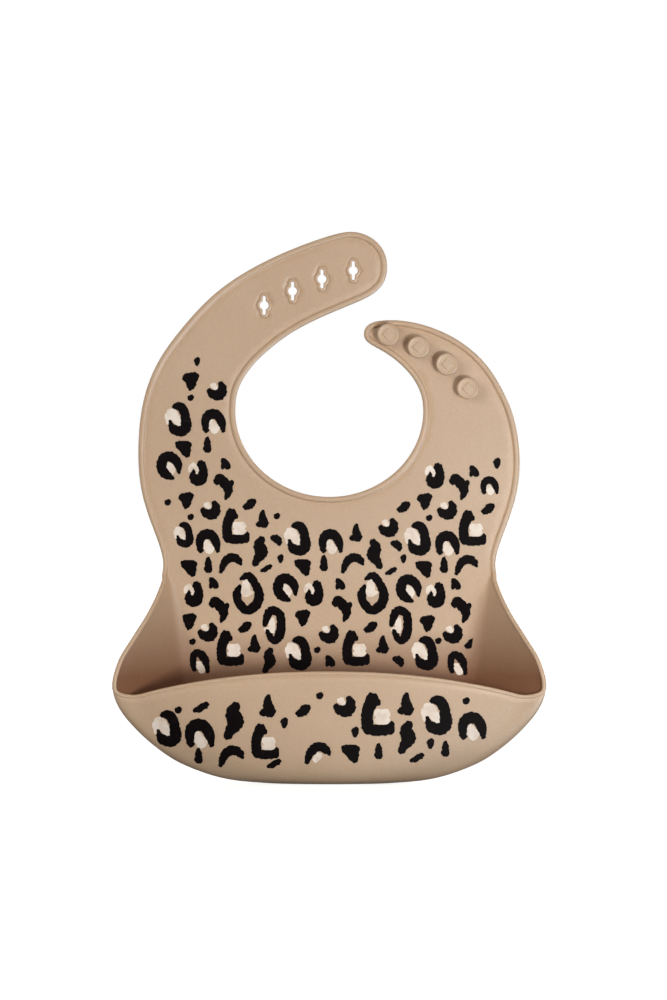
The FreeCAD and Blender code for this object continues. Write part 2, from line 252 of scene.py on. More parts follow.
# cross-section of the raised edge: distance from the outline and depth, from the front face of the
# panel round the edge to the back face
EDGE_PROFILE = np.array([(4.2, -1.6), (3.8, -1.36), (3.4, -1.36), (3.1, -1.8), (2.85, -2.35),
                         (2.45, -2.7), (1.9, -2.8), (1.2, -2.8), (0.6, -2.6), (0.15, -2.1),
                         (0, -1.4), (0.15, -0.7), (0.6, -0.15), (1.3, 0), (4.2, 0)])
BEAD_POINTS = range(3, 14)  # those that belong to the raised edge
BEAD_R = 1.28               # radius of the round bead at the waist
SLIM_REACH = 22.0           # height over which the flat edge turns into that bead
CURL_TOP = 122.0            # the side edges start to curl forward at this height


def waist_profile():
    """The round bead's cross-section, point for point like EDGE_PROFILE."""
    first = math.asin((WALL - BEAD_R) / BEAD_R)
    turn = np.linspace(first, 1.5 * math.pi, 11)
    arc = np.stack((BEAD_R + BEAD_R * np.cos(turn), -BEAD_R - BEAD_R * np.sin(turn)), axis=1)
    return np.vstack(([(4.2, -WALL), (3.6, -WALL), (3.0, -WALL)], arc, [(4.2, 0.0)]))


WAIST_PROFILE = waist_profile()


def outline():
    """The open plan outline: left waist, hole strap, neck, stud strap, right waist."""
    left = spline(LEFT, STEP)
    right = spline(RIGHT, STEP)
    turn = np.arange(math.pi, 2 * math.pi, STEP / NECK_RX)[1:]
    neck = np.stack((NECK_MID[0] + NECK_RX * np.cos(turn), NECK_MID[1] + NECK_RZ * np.sin(turn)),
                    axis=1)
    return np.vstack((left, neck, right))


OUT = outline()
OUT_IN = inward_normals(OUT)
for i, (x, h) in enumerate(OUT):
    level = np.clip((CURL_TOP - h) / (CURL_TOP - WAIST_SEAM), 0, 1) ** 2
    OUT_IN[i] = OUT_IN[i] * (1 - level) + np.array((-np.sign(x), 0.0)) * level
OUT_IN /= np.linalg.norm(OUT_IN, axis=1)[:, None]


def edge_profile(i):
    """The edge's cross-section at an outline point; towards the waist it turns into a round bead."""
    share = ease((OUT[i][1] - WAIST_SEAM) / SLIM_REACH)
    profile = WAIST_PROFILE + (EDGE_PROFILE - WAIST_PROFILE) * share
    middle = OUT[i] + OUT_IN[i] * BEAD_R
    points = []
    for k, (d, y) in enumerate(profile):
        x, h = OUT[i] + OUT_IN[i] * d
        sunk = sink(*middle) if k in BEAD_POINTS else sink(x, h)
        points.append((x, y + sunk, h))
    return points


def flat_skin(name, stretches, material, holes=()):
    """A flat skin bounded by stretches of the outline, with straight cuts between them."""
    build = Builder()
    front, back = [], []
    rings = []
    for a, b in stretches:
        rows = [build.add(edge_profile(i)) for i in range(a, b + 1)]
        build.grid(rows)
        rings.append(rows)
    cuts = []
    for n, rows in enumerate(rings):
        front += [r[0] for r in rows]
        back += [r[-1] for r in rows]
        here = np.array(build.points[rows[-1][0]])
        there = np.array(build.points[rings[(n + 1) % len(rings)][0][0]])
        count = max(int(np.linalg.norm(there - here) / GRID), 2)
        line = [here + (there - here) * k / count for k in range(1, count)]
        fronts = build.add([(p[0], sink(p[0], p[2]) - WALL, p[2]) for p in line])
        backs = build.add([(p[0], sink(p[0], p[2]), p[2]) for p in line])
        cuts.append((n, fronts, backs))
        front += list(fronts)
        back += list(backs)
    plan = np.array([build.points[i] for i in front])[:, [0, 2]]
    loops = [plan]
    for hole in holes:
        loops.append(hole)
        front += list(build.add([(x, -WALL, h) for x, h in hole]))
        back += list(build.add([(x, 0.0, h) for x, h in hole]))
    points, triangles = fill(loops, GRID, EDGE_CLEAR * GRID)
    inner = points[len(front):]
    front += list(build.add([(x, sink(x, h) - WALL, h) for x, h in inner]))
    back += list(build.add([(x, sink(x, h), h) for x, h in inner]))
    for a, b, c in triangles:
        build.faces.append((front[a], front[b], front[c]))
        build.faces.append((back[c], back[b], back[a]))
    for n, fronts, backs in cuts:
        last = rings[n][-1]
        first = rings[(n + 1) % len(rings)][0]
        build.cap(list(last))
        build.cap(list(first))
        tops = [last[0]] + list(fronts) + [first[0]]
        lows = [last[-1]] + list(backs) + [first[-1]]
        for k in range(len(tops) - 1):
            build.cap((tops[k], tops[k + 1], lows[k + 1], lows[k]))
    first = len(plan)
    for hole in holes:
        n = len(hole)
        for k in range(n):
            m = (k + 1) % n
            build.faces.append((front[first + k], front[first + m], back[first + m], back[first + k]))
        first += n
    return mesh_object(name, build, [material])


# ------------------------------------------------------------------ the scoop pocket

# height, half width at the fold, half width at the side, depth of the side, depth of the back
RING_STATIONS = np.array([
    (0, 14, 24, 15.5, 12), (0.5, 22, 38, 15.6, 8), (1.6, 32, 52, 16, 4.8),
    (3.5, 43, 62.5, 17, 2.4), (6, 51, 71, 18, 1), (9, 58.5, 78.6, 19.1, 0.2),
    (12.5, 64, 85.8, 20.5, 0), (20, 69.5, 96, 24.5, 0), (30, 73.5, 105.5, 29, 0),
    (42, 76.3, 113.5, 34, 0), (54, 78.2, 117.6, 37.6, 0), (66, 80.2, 114.6, 34.5, 0),
    (80, 82.2, 106.6, 26.5, 0), (92, 84, 99.3, 18.4, 0), (104, 86.2, 93.8, 9.4, 0),
    (113, 88.2, 91.2, 2.2, 0), (118, 89.6, 90.7, 0.5, 0), (CURL_TOP, 90.9, 91.1, 0, 0)])
FRONT_STATIONS = np.array([(0, 20), (0.5, 23.5), (1.6, 27), (3.5, 30), (6, 32.6),
                           (9, 34.8), (12.5, 36.7), (20, 39.8), (30, 43), (42, 45.6),
                           (54, 47.4), (66, 48.4)])
FRONT_TOP = 60.8        # height of the rim at the middle
MOUTH_DROP = 17.0       # how much lower it would be at the corners
MOUTH_POWER = 2.2
CORNER_RISE = 8.7       # how the rim turns up again round the corners
CORNER_FROM = 0.88
FREE_R = 1.2            # radius of the bead along the free edge
BEAD_IN = 1.15          # the free edge's bead has its middle this far inside the widest line
BEAD_IN_FROM = 42.0     # height from which the wall draws in towards that bead
BEAD_IN_REACH = 12.0
BEAD_PROUD = 0.22        # how far the bead stands proud of the wall's outer face
FOLD_SHARE = 0.4        # share of a side wall's columns that go round the fold
FOLD_CURVE = 5.0        # how far the fold's curve reaches on either side
ROUND_BACK = (0.12, 0.30)       # share of the side wall taken by the rounded corner, top and bottom
ROUND_FRONT = (0.085, 0.20)     # share of the front wall taken by it
ROUND_BULGE = (1.0, 0.35)       # how much of the full corner the rounding keeps
# Painted shade inside the pocket: the colour is darkened where the pocket's walls keep light out.
PANEL_PAINTED_SHADE = (84.0, 26.0)       # painted shade on the back's inner face deepens below this height, over this reach
PANEL_PAINTED_SHADE_MOST = 0.85          # how dark that painted shade gets in the middle
PANEL_PAINTED_SHADE_SIDES = 0.1          # how much deeper it gets near the folds
GUSSET_PAINTED_SHADE = (112.0, 54.0)     # height and reach of the painted shade on the side walls
GUSSET_PAINTED_SHADE_POWER = 1.3
FOLD_PAINTED_SHADE = 11.0                # the two painted shades pass into each other over this width
FLOOR_PAINTED_SHADE = 0.5                # share of the painted shade that is left near the floor
FLOOR_PAINTED_SHADE_TOP = 25.0           # height from which it eases off to that share
CORNER_FADE = 0.15      # share of the height over the mouth in which the rounded corner dies out
LOW_ROWS = 28           # rows of the closed part, up to the corners of the mouth
HIGH_ROWS = 20          # rows of the sides and back above that


def along(stations, column, h):
    """Smooth value of a station column at height h, interpolated over the root of the height."""
    q = np.sqrt(stations[:, 0])
    return hermite(q, stations[:, column], np.sqrt(np.maximum(h, 0.0)))


def hermite(x, y, at):
    """Cubic interpolation with limited slopes, so that it never overshoots."""
    at = np.clip(at, x[0], x[-1])
    gap = np.diff(x)
    slope = np.diff(y) / gap
    m = np.zeros(len(x))
    m[0], m[-1] = slope[0], slope[-1]
    for i in range(1, len(x) - 1):
        if slope[i - 1] * slope[i] > 0:
            w1, w2 = 2 * gap[i] + gap[i - 1], gap[i] + 2 * gap[i - 1]
            m[i] = (w1 + w2) / (w1 / slope[i - 1] + w2 / slope[i])
    k = np.clip(np.searchsorted(x, at, side="right") - 1, 0, len(x) - 2)
    t = (at - x[k]) / gap[k]
    a = 2 * t ** 3 - 3 * t ** 2 + 1
    b = (t ** 3 - 2 * t ** 2 + t) * gap[k]
    c = (t ** 3 - t ** 2) * gap[k]
    return a * y[k] + b * m[k] + (1 - a) * y[k + 1] + c * m[k + 1]


def mouth_height(s):
    """Height of the free rim at the share s of the half width."""
    turn = np.clip((np.abs(s) - CORNER_FROM) / (1 - CORNER_FROM), 0, 1)
    return FRONT_TOP - MOUTH_DROP * np.abs(s) ** MOUTH_POWER + CORNER_RISE * turn ** 2


def side_reach(h):
    """Half width of the scoop's wall; above the mouth it ends in the middle of the bead."""
    return along(RING_STATIONS, 2, h) - BEAD_IN * ease((h - BEAD_IN_FROM) / BEAD_IN_REACH)


def front_at(s, h):
    """(across, depth) of the front wall's outer face."""
    side = along(RING_STATIONS, 3, h)
    middle = along(FRONT_STATIONS, 1, h)
    return s * side_reach(h), -(side + (middle - side) * (1 - s * s))


def fold_reach(h):
    """How far the fold's curve reaches at height h."""
    width = side_reach(h) - along(RING_STATIONS, 1, h)
    rise = along(RING_STATIONS, 3, h) - along(RING_STATIONS, 4, h)
    return np.minimum(FOLD_CURVE, 0.35 * np.hypot(width, rise))


def back_reach(h):
    """Half width of the flat back, up to where the fold's curve starts."""
    return along(RING_STATIONS, 1, h) - fold_reach(h)


def gusset_at(t, h):
    """(across, depth) of the right side wall's outer face, t from the back to the free edge."""
    fold = np.array((along(RING_STATIONS, 1, h), -along(RING_STATIONS, 4, h)))
    edge = np.array((side_reach(h), -along(RING_STATIONS, 3, h)))
    reach = fold_reach(h)
    start = fold - (reach, 0.0)
    end = fold + (edge - fold) * (reach / np.linalg.norm(edge - fold))
    if t < FOLD_SHARE:
        u = t / FOLD_SHARE
        return start * (1 - u) ** 2 + fold * 2 * u * (1 - u) + end * u ** 2
    return end + (edge - end) * (t - FOLD_SHARE) / (1 - FOLD_SHARE)


def sink(x, h):
    """Depth of the back face of the flat skin; the side edges curl forward just above the scoop."""
    if h >= CURL_TOP or abs(x) < back_reach(h):
        return 0.0
    line = np.array([gusset_at(t, h) for t in np.linspace(0, 1, 21)])
    return float(np.interp(abs(x), line[:, 0], line[:, 1]))


CORNER_H = float(mouth_height(1.0))


def rounding(pair, h):
    """A rounding value at height h: the first of the pair at the mouth, the second at the bottom."""
    return pair[0] + (pair[1] - pair[0]) * ease(1 - h / CORNER_H)


def corner_at(u, h):
    """(across, depth) of the rounded corner between side wall and front wall."""
    near = np.array(gusset_at(1 - rounding(ROUND_BACK, h), h))
    far = np.array(front_at(1 - rounding(ROUND_FRONT, h), h))
    corner = np.array(front_at(1.0, h))
    pull = corner + (corner - (near + far) / 2) * rounding(ROUND_BULGE, h)
    return near * (1 - u) ** 2 + pull * 2 * u * (1 - u) + far * u ** 2


BACK_HALF = 22          # columns from the middle of the back to the fold
SIDE_COLUMNS = 12
CORNER_COLUMNS = 4
FRONT_HALF = 26
OPEN_HALF = BACK_HALF + SIDE_COLUMNS + CORNER_COLUMNS + 1   # columns that go on above the mouth


def half_columns():
    """Column rules from the middle of the back round the right side to the middle of the front."""
    columns = [("back", k / BACK_HALF) for k in range(BACK_HALF)]
    columns += [("side", k / SIDE_COLUMNS) for k in range(SIDE_COLUMNS)]
    columns += [("corner", k / (2.0 * CORNER_COLUMNS)) for k in range(2 * CORNER_COLUMNS)]
    columns += [("front", 1 - k / FRONT_HALF) for k in range(FRONT_HALF + 1)]
    return columns


def low_point(rule, share):
    """Point of the closed part; share runs from the bottom to that column's top."""
    kind, c = rule
    top = CORNER_H
    if kind == "front":
        top = float(mouth_height(c * (1 - ROUND_FRONT[0])))
    if kind == "corner" and c > 0.5:
        top = float(mouth_height(1 - ROUND_FRONT[0] * (2 * c - 1)))
    h = top * share ** 2
    if kind == "back":
        x, y = c * back_reach(h), -along(RING_STATIONS, 4, h)
    elif kind == "side":
        x, y = gusset_at(c * (1 - rounding(ROUND_BACK, h)), h)
    elif kind == "corner":
        x, y = corner_at(c, h)
    else:
        x, y = front_at(c * (1 - rounding(ROUND_FRONT, h)), h)
    return (float(x), float(y), h)


def high_point(rule, share):
    """Point of the back or side above the mouth's corners."""
    kind, c = rule
    h = CORNER_H + (WAIST_SEAM - CORNER_H) * share
    if kind == "back":
        x, y = c * back_reach(h), 0.0
    elif kind == "side":
        x, y = gusset_at(c * (1 - ROUND_BACK[0]), h)
    else:
        blend = 1 - min(share / CORNER_FADE, 1.0)
        gx, gy = gusset_at(1 - ROUND_BACK[0] + 2 * ROUND_BACK[0] * c, h)
        rx, ry = corner_at(c, h)
        x, y = gx + (rx - gx) * blend, gy + (ry - gy) * blend
    return (float(x), float(y), h)


def scoop_sheet():
    """Outer face of the scoop: closed rows from the bottom up, then open rows over back and sides."""
    half = half_columns()
    low_rows = []
    for r in range(LOW_ROWS + 1):
        right = np.array([low_point(rule, r / LOW_ROWS) for rule in half])
        left = right[1:-1][::-1] * (-1, 1, 1)
        low_rows.append(np.vstack((right, left)))
    high_rows = []
    for r in range(1, HIGH_ROWS + 1):
        right = np.array([high_point(rule, r / HIGH_ROWS) for rule in half[:OPEN_HALF]])
        high_rows.append(np.vstack((right[1:][::-1] * (-1, 1, 1), right)))
    return low_rows, high_rows


def pocket_painted_shade(x, h):
    """How deep inside the pocket a point of its inner face lies, from 0 to 1: the strength of the painted
    shade there.
    """
    fold = along(RING_STATIONS, 1, h)
    panel = np.clip((PANEL_PAINTED_SHADE[0] - h) / PANEL_PAINTED_SHADE[1], 0, 1)
    panel *= PANEL_PAINTED_SHADE_MOST + PANEL_PAINTED_SHADE_SIDES * min(abs(x) / fold, 1.0) ** 4
    gusset = np.clip((GUSSET_PAINTED_SHADE[0] - h) / GUSSET_PAINTED_SHADE[1], 0, 1) ** GUSSET_PAINTED_SHADE_POWER
    shade = min(panel + (gusset - panel) * ease((abs(x) - fold) / FOLD_PAINTED_SHADE + 1), 1.0)
    return shade * (FLOOR_PAINTED_SHADE + (1 - FLOOR_PAINTED_SHADE) * np.clip(h / FLOOR_PAINTED_SHADE_TOP - 1, 0, 1))


def quad_normals(points, quads):
    """Unit normals of points, summed over the quads round them."""
    normals = np.zeros_like(points)
    for quad in quads:
        a, b, c, d = points[list(quad)]
        across = np.cross(b - a, c - b)
        if np.linalg.norm(across) < 1e-9:
            across = np.cross(c - a, d - a)
        normals[list(quad)] += across
    return normals / np.maximum(np.linalg.norm(normals, axis=1), 1e-9)[:, None]


def scoop_skin(name, material):
    """The whole scoop as one closed skin of even wall, and the line of its free edge."""
    low_rows, high_rows = scoop_sheet()
    total = len(low_rows[0])
    outer = np.vstack(low_rows + high_rows)
    low_index = [np.arange(r * total, (r + 1) * total) for r in range(LOW_ROWS + 1)]
    first = (LOW_ROWS + 1) * total
    width = 2 * OPEN_HALF - 1
    high_index = [np.arange(first + r * width, first + (r + 1) * width) for r in range(HIGH_ROWS)]
    top_low = low_index[-1]
    joined = np.concatenate((top_low[total - OPEN_HALF + 1:], top_low[:OPEN_HALF]))
    sheet = Builder()
    sheet.grid(low_index, closed=True)
    sheet.grid([joined] + high_index)
    normals = quad_normals(outer, sheet.faces)
    if normals[high_index[HIGH_ROWS // 2][width // 2]][1] < 0:
        normals = -normals
    normals[low_index[0]] = (0.0, 0.0, -1.0)
    normals[high_index[-1]] = (0.0, 1.0, 0.0)
    sheet.faces.append(tuple(low_index[0][::-1]))
    build = Builder()
    build.add(outer)
    inner = build.add(outer - normals * WALL)
    build.faces = list(sheet.faces) + [tuple(inner[i] for i in f[::-1]) for f in sheet.faces]
    right_edge = [top_low[OPEN_HALF - 1]] + [row[-1] for row in high_index]
    left_edge = [top_low[total - OPEN_HALF + 1]] + [row[0] for row in high_index]
    mouth = list(top_low[OPEN_HALF - 1:total - OPEN_HALF + 2])
    rim = right_edge[::-1] + mouth[1:-1] + left_edge
    build.grid([np.array(rim), inner[np.array(rim)]])
    top = high_index[-1]
    for a, b in zip(top[:-1], top[1:]):
        build.cap((a, b, inner[b], inner[a]))
    path = outer[rim] - normals[rim] * (FREE_R - BEAD_PROUD)
    skin = mesh_object(name, build, [material])
    # painted shade on the inner face only; the outer face stays at 0
    shade = [0.0] * len(outer) + [float(pocket_painted_shade(x, h)) for x, y, h in outer]
    skin.data.attributes.new("shade", "FLOAT", "POINT").data.foreach_set("value", shade)
    return skin, path


END_UPRIGHT = (1.0, 0.6, 0.25)      # how upright the bead's first and last rings stand


def tube(name, path, radii, material, sides=12):
    """A round bead along a path of points."""
    path = np.array(path)
    build = Builder()
    tangents = np.gradient(path, axis=0)
    tangents /= np.linalg.norm(tangents, axis=1)[:, None]
    for k, level in enumerate(END_UPRIGHT):
        tangents[k] = tangents[k] * (1 - level) + np.array((0.0, 0.0, -level))
        tangents[-1 - k] = tangents[-1 - k] * (1 - level) + np.array((0.0, 0.0, level))
    tangents /= np.linalg.norm(tangents, axis=1)[:, None]
    side = np.cross(tangents[0], (0.0, 1.0, 0.0))
    rows = []
    for p, t, r in zip(path, tangents, radii):
        side = side - t * side.dot(t)
        side /= np.linalg.norm(side)
        up = np.cross(t, side)
        turn = np.arange(sides) * 2 * math.pi / sides
        rows.append(build.add(p + r * (np.outer(np.cos(turn), side) + np.outer(np.sin(turn), up))))
    build.grid(rows, closed=True)
    build.cap(rows[0])
    build.cap(rows[-1][::-1])
    return mesh_object(name, build, [material])


# ------------------------------------------------------------------ small parts

HOLE_R = 2.4
SLOT_HALF = 0.8
SLOT_REACH = 5.2
HOLE_CUT = 1.02             # how much wider than its hole the opening cut for a lip is
LIP_PROFILE = [(1, -0.04), (0.35, -0.04), (0, -0.4), (0, -1.9), (0.3, -2.35), (0.8, -2.5),
               (1.3, -2.3), (1.65, -1.9), (1.8, -1.45), (1.8, -0.8), (1, -0.8)]


def keyhole(middle, grown):
    """Outline of a button hole grown by a distance: a round hole crossed by an upright slot."""
    radius = HOLE_R + grown
    half = SLOT_HALF + grown
    reach = SLOT_REACH + grown - half
    meet = math.acos(half / radius)
    points = []
    for top in (1, -1):
        for a in np.linspace(0, math.pi, 9):
            points.append((top * half * math.cos(a), top * (reach + half * math.sin(a))))
        for k in (1, 2, 3):
            h = reach + (radius * math.sin(meet) - reach) * k / 4
            points.append((-top * half, top * h))
        for a in np.linspace(math.pi - meet, math.pi + meet, 15):
            points.append((top * radius * math.cos(a), top * radius * math.sin(a)))
        for k in (1, 2, 3):
            h = radius * math.sin(meet) + (reach - radius * math.sin(meet)) * k / 4
            points.append((-top * half, -top * h))
    return np.array(points) + np.array(middle)


def keyhole_lip(name, middle, material):
    """The raised, rounded lip of a button hole."""
    build = Builder()
    rings = []
    for grown, y in LIP_PROFILE + LIP_PROFILE[:1]:
        if len(rings) == len(LIP_PROFILE):
            rings.append(rings[0])
            continue
        rings.append(build.add([(x, y, h) for x, h in keyhole(middle, grown)]))
    build.grid(rings, closed=True)
    return mesh_object(name, build, [material])


STUD_PROFILE = [(0, 0.3), (4.3, 0.3), (4, -0.05), (3.2, -0.3), (2.75, -0.9), (2.6, -1.8),
                (2.6, -4.2), (2.75, -4.7), (3.2, -4.95), (5, -5), (5.7, -5.1), (6, -5.5),
                (6.05, -6.2), (6, -6.9), (5.75, -7.35), (5.4, -7.55), (5.1, -7.6), (4.85, -7.5),
                (4.6, -7.35), (4.2, -7.3), (2, -7.3), (0, -7.3)]
BADGE_PROFILE = [(2.5, -7.1), (2.5, -7.42), (2.35, -7.62), (2, -7.68)]    # half side, depth
BADGE_ROUND = 0.45
BADGE_TURN = math.radians(45.0)


def stud(name, middle, material):
    """A button: foot, stem, cap with a soft raised rim, and a plain raised square."""
    build = Builder()
    sides = 48
    rows = []
    x, h = middle
    for r, y in STUD_PROFILE:
        if r == 0.0:
            rows.append(build.add([(x, y - WALL, h)]))
            continue
        turn = np.arange(sides) * 2 * math.pi / sides
        rows.append(build.add([(x + r * math.cos(a), y - WALL, h + r * math.sin(a)) for a in turn]))
    for r, q in zip(rows[:-1], rows[1:]):
        if len(r) == 1 or len(q) == 1:
            tip, ring = (r, q) if len(r) == 1 else (q, r)
            for i in range(sides):
                build.faces.append((tip[0], ring[i], ring[(i + 1) % sides]))
        else:
            build.grid([r, q], closed=True)
    rings = []
    for half, y in BADGE_PROFILE:
        ring = []
        for k in range(4):
            for a in np.linspace(0, math.pi / 2, 5):
                px = BADGE_ROUND * math.cos(a) + half - BADGE_ROUND
                ph = BADGE_ROUND * math.sin(a) + half - BADGE_ROUND
                turn = k * math.pi / 2 + BADGE_TURN
                ring.append((x + px * math.cos(turn) - ph * math.sin(turn), y - WALL,
                             h + px * math.sin(turn) + ph * math.cos(turn)))
        rings.append(build.add(ring))
    build.grid(rings, closed=True)
    build.cap(rings[0])
    build.cap(rings[-1][::-1])
    return mesh_object(name, build, [material])


# ------------------------------------------------------------------ materials

class Nodes:
    """Short way to write a node material."""

    def __init__(self, name):
        self.material = bpy.data.materials.new(name)
        self.material.use_nodes = True
        self.tree = self.material.node_tree
        self.shader = self.tree.nodes["Principled BSDF"]
        self.place = self.tree.nodes.new("ShaderNodeTexCoord").outputs["Object"]

    def node(self, kind, inputs, **settings):
        made = self.tree.nodes.new(kind)
        for key, value in settings.items():
            setattr(made, key, value)
        for key, value in inputs.items():
            if isinstance(value, bpy.types.NodeSocket):
                self.tree.links.new(value, made.inputs[key])
            else:
                made.inputs[key].default_value = value
        return made

    def noise(self, scale, detail, roughness=0.5):
        return self.node("ShaderNodeTexNoise", {"Vector": self.place, "Scale": scale,
                                                "Detail": detail, "Roughness": roughness}).outputs["Fac"]

    def ramp(self, fac, stops):
        made = self.node("ShaderNodeValToRGB", {"Fac": fac})
        elements = made.color_ramp.elements
        while len(elements) < len(stops):
            elements.new(0.5)
        for element, (place, colour) in zip(elements, stops):
            element.position = place
            element.color = (*colour, 1.0)
        return made.outputs["Color"]

    def mix(self, fac, a, b, blend="MIX"):
        made = self.tree.nodes.new("ShaderNodeMix")
        made.data_type = "RGBA"
        made.blend_type = blend
        for socket, value in ((made.inputs[0], fac), (made.inputs[6], a), (made.inputs[7], b)):
            if isinstance(value, bpy.types.NodeSocket):
                self.tree.links.new(value, socket)
            else:
                socket.default_value = (*value, 1.0) if isinstance(value, tuple) else value
        return made.outputs[2]

    def set(self, key, value):
        if isinstance(value, bpy.types.NodeSocket):
            self.tree.links.new(value, self.shader.inputs[key])
        else:
            self.shader.inputs[key].default_value = value

    def bump(self, heights, distance):
        normal = None
        for height, strength in heights:
            inputs = {"Height": height, "Strength": strength, "Distance": distance}
            if normal is not None:
                inputs["Normal"] = normal
            normal = self.node("ShaderNodeBump", inputs).outputs["Normal"]
        self.set("Normal", normal)


def linear(red, green, blue):
    """A screen colour of 0 to 255 as linear light."""
    shares = [c / 255.0 for c in (red, green, blue)]
    return tuple(c / 12.92 if c <= 0.04045 else ((c + 0.055) / 1.055) ** 2.4 for c in shares)


def silicone(name, deep=None):
    """Matt tan silicone: faint mottling, a fine grain and soft light under the surface.

    With a deep colour, the mesh's shade attribute darkens it towards that colour as painted shade, and
    takes the gloss away there."""
    m = Nodes(name)
    wide = m.noise(14.0, 3.0)
    fine = m.noise(900.0, 2.0, 0.6)
    base = m.ramp(wide, [(0.30, linear(205, 176, 145)), (0.70, linear(213, 185, 155))])
    speck = m.ramp(fine, [(0.35, (0.90, 0.90, 0.90)), (0.65, (1.0, 1.0, 1.0))])
    colour = m.mix(0.6, base, speck, "MULTIPLY")
    if deep:
        # painted shade: the shade attribute darkens the colour and dulls the gloss
        shade = m.node("ShaderNodeAttribute", {}, attribute_name="shade").outputs["Fac"]
        colour = m.mix(shade, colour, m.mix(1.0, colour, deep, "MULTIPLY"))
        m.set("Specular IOR Level", m.node("ShaderNodeMapRange", {"Value": shade, "To Min": 0.35,
                                                                  "To Max": 0.05}).outputs["Result"])
    else:
        m.set("Specular IOR Level", 0.35)
    m.set("Base Color", colour)
    m.set("Roughness", m.node("ShaderNodeMapRange", {"Value": fine, "To Min": 0.46,
                                                     "To Max": 0.60}).outputs["Result"])
    m.set("Subsurface Weight", 0.12)
    m.set("Subsurface Radius", (1.0, 0.55, 0.35))
    m.set("Subsurface Scale", 0.0015)
    m.bump([(m.noise(30.0, 2.0), 0.10), (fine, 0.18)], 0.0006)
    return m.material


def black_ink():
    """Matt brown-black screen ink, with thin paler streaks where the brush ran dry."""
    m = Nodes("black_ink")
    streak = m.noise(260.0, 4.0, 0.7)
    m.set("Base Color", m.ramp(streak, [(0.30, linear(9, 4, 5)), (0.62, linear(15, 8, 10)),
                                        (0.80, linear(46, 31, 30))]))
    m.set("Roughness", m.node("ShaderNodeMapRange", {"Value": streak, "To Min": 0.55,
                                                     "To Max": 0.75}).outputs["Result"])
    m.set("Specular IOR Level", 0.03)
    m.bump([(streak, 0.25)], 0.0002)
    return m.material


def cream_ink():
    """Cream screen ink with faint tan brushing."""
    m = Nodes("cream_ink")
    streak = m.noise(180.0, 4.0, 0.65)
    m.set("Base Color", m.ramp(streak, [(0.30, linear(228, 210, 192)), (0.50, linear(244, 232, 218)),
                                        (0.75, linear(250, 242, 232))]))
    m.set("Roughness", 0.55)
    m.set("Specular IOR Level", 0.3)
    m.bump([(streak, 0.3)], 0.0002)
    return m.material


SILICONE = silicone("silicone")
# the pocket's silicone darkens towards this colour as painted shade
POCKET_SILICONE = silicone("pocket_silicone", (0.41, 0.275, 0.23))
BLACK = black_ink()
CREAM = cream_ink()


# ------------------------------------------------------------------ assembly

def place(x, y, h):
    """A plan place in millimetres as a point of the frame."""
    return Vector((x * MM, y * MM, (h + LOWEST) * MM))


def bend_over(obj, a, b, start, end):
    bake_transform(obj)


BEAD_JOIN = 16.0            # height over which the scoop's bead turns into the waist's
FOLD_MARGIN = 2.0           # flat skin kept between the fold and the seam of the hole end
STRAP_BLEND = ((0.0, 0.0, BEND_STRAP[0]), (0.0, 0.0, BEND_STRAP[1]))
WAIST_BLEND = ((0.0, 0.0, BEND_WAIST[0]), (0.0, 0.0, BEND_WAIST[1]))
POCKET_BLEND = ((0.0, 0.0, 60.0), (0.0, -37.7, 54.6))   # from the back to the depth of the rim
FOLD_NEAR = FOLD_MID - FOLD_ALONG * FOLD_REACH
FOLD_FAR = FOLD_MID + FOLD_ALONG * FOLD_REACH
FOLD_BLEND = ((FOLD_NEAR[0], 0.0, FOLD_NEAR[1]), (FOLD_FAR[0], 0.0, FOLD_FAR[1]))

last = len(OUT) - 1
tip = int(np.argmax(OUT[:, 1]))
neck_low = int(np.argmin(np.hypot(OUT[:, 0], OUT[:, 1] - (NECK_MID[1] - NECK_RZ))))
left_seam = int(np.argmin(np.abs(OUT[:tip, 1] - STRAP_SEAM)))
neck_left = tip + int(np.argmin(np.abs(OUT[tip:neck_low, 1] - STRAP_SEAM)))
stud_top = neck_low + int(np.argmax(OUT[neck_low:, 1]))
neck_right = neck_low + int(np.argmin(np.abs(OUT[neck_low:stud_top, 1] - STRAP_SEAM)))
right_seam = stud_top + int(np.argmin(np.abs(OUT[stud_top:, 1] - STRAP_SEAM)))
past_fold = (OUT - FOLD_MID) @ FOLD_ALONG + FOLD_REACH + FOLD_MARGIN
fold_outer = int(np.argmax(past_fold > 0))
fold_inner = tip + int(np.argmax(past_fold[tip:] < 0))

holes = [centre_of("keyhole_lip_%d" % n) for n in (1, 2, 3, 4)]
studs = [centre_of("stud_%d" % n) for n in (1, 2, 3, 4)]

chest = flat_skin("chest_skin", [(0, left_seam), (neck_left, neck_right), (right_seam, last)], SILICONE)
bend_over(chest, "chest", "lower_panel", *WAIST_BLEND)
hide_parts("chest_panel", "chest_edge_left", "chest_edge_right", "neck_edge",
            "waist_flexure")

hole_strap = flat_skin("hole_strap_skin", [(left_seam, fold_outer), (fold_inner, neck_left)], SILICONE)
bend_over(hole_strap, "chest", "hole_strap", *STRAP_BLEND)
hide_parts("hole_strap_panel", "hole_strap_outer_edge", "hole_strap_inner_edge",
            "hole_strap_flexure")

hole_end = flat_skin("hole_end_skin", [(fold_outer, fold_inner)], SILICONE,
                     [keyhole(middle, HOLE_CUT) for middle in holes])
bend_over(hole_end, "hole_strap", "hole_end", *FOLD_BLEND)
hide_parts("hole_end_panel", "hole_end_edge", "hole_end_flexure")

stud_strap = flat_skin("stud_strap_skin", [(neck_right, right_seam)], SILICONE)
bend_over(stud_strap, "chest", "stud_strap", *STRAP_BLEND)
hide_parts("stud_strap_panel", "stud_strap_edge", "stud_strap_flexure")

for n in (1, 2, 3, 4):
    lip = keyhole_lip("button_hole_lip_%d" % n, holes[n - 1], SILICONE)
    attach(lip, "hole_end")
    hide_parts("keyhole_lip_%d" % n)
    button = stud("button_%d" % n, studs[n - 1], SILICONE)
    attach(button, "stud_strap")
    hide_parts("stud_%d" % n)

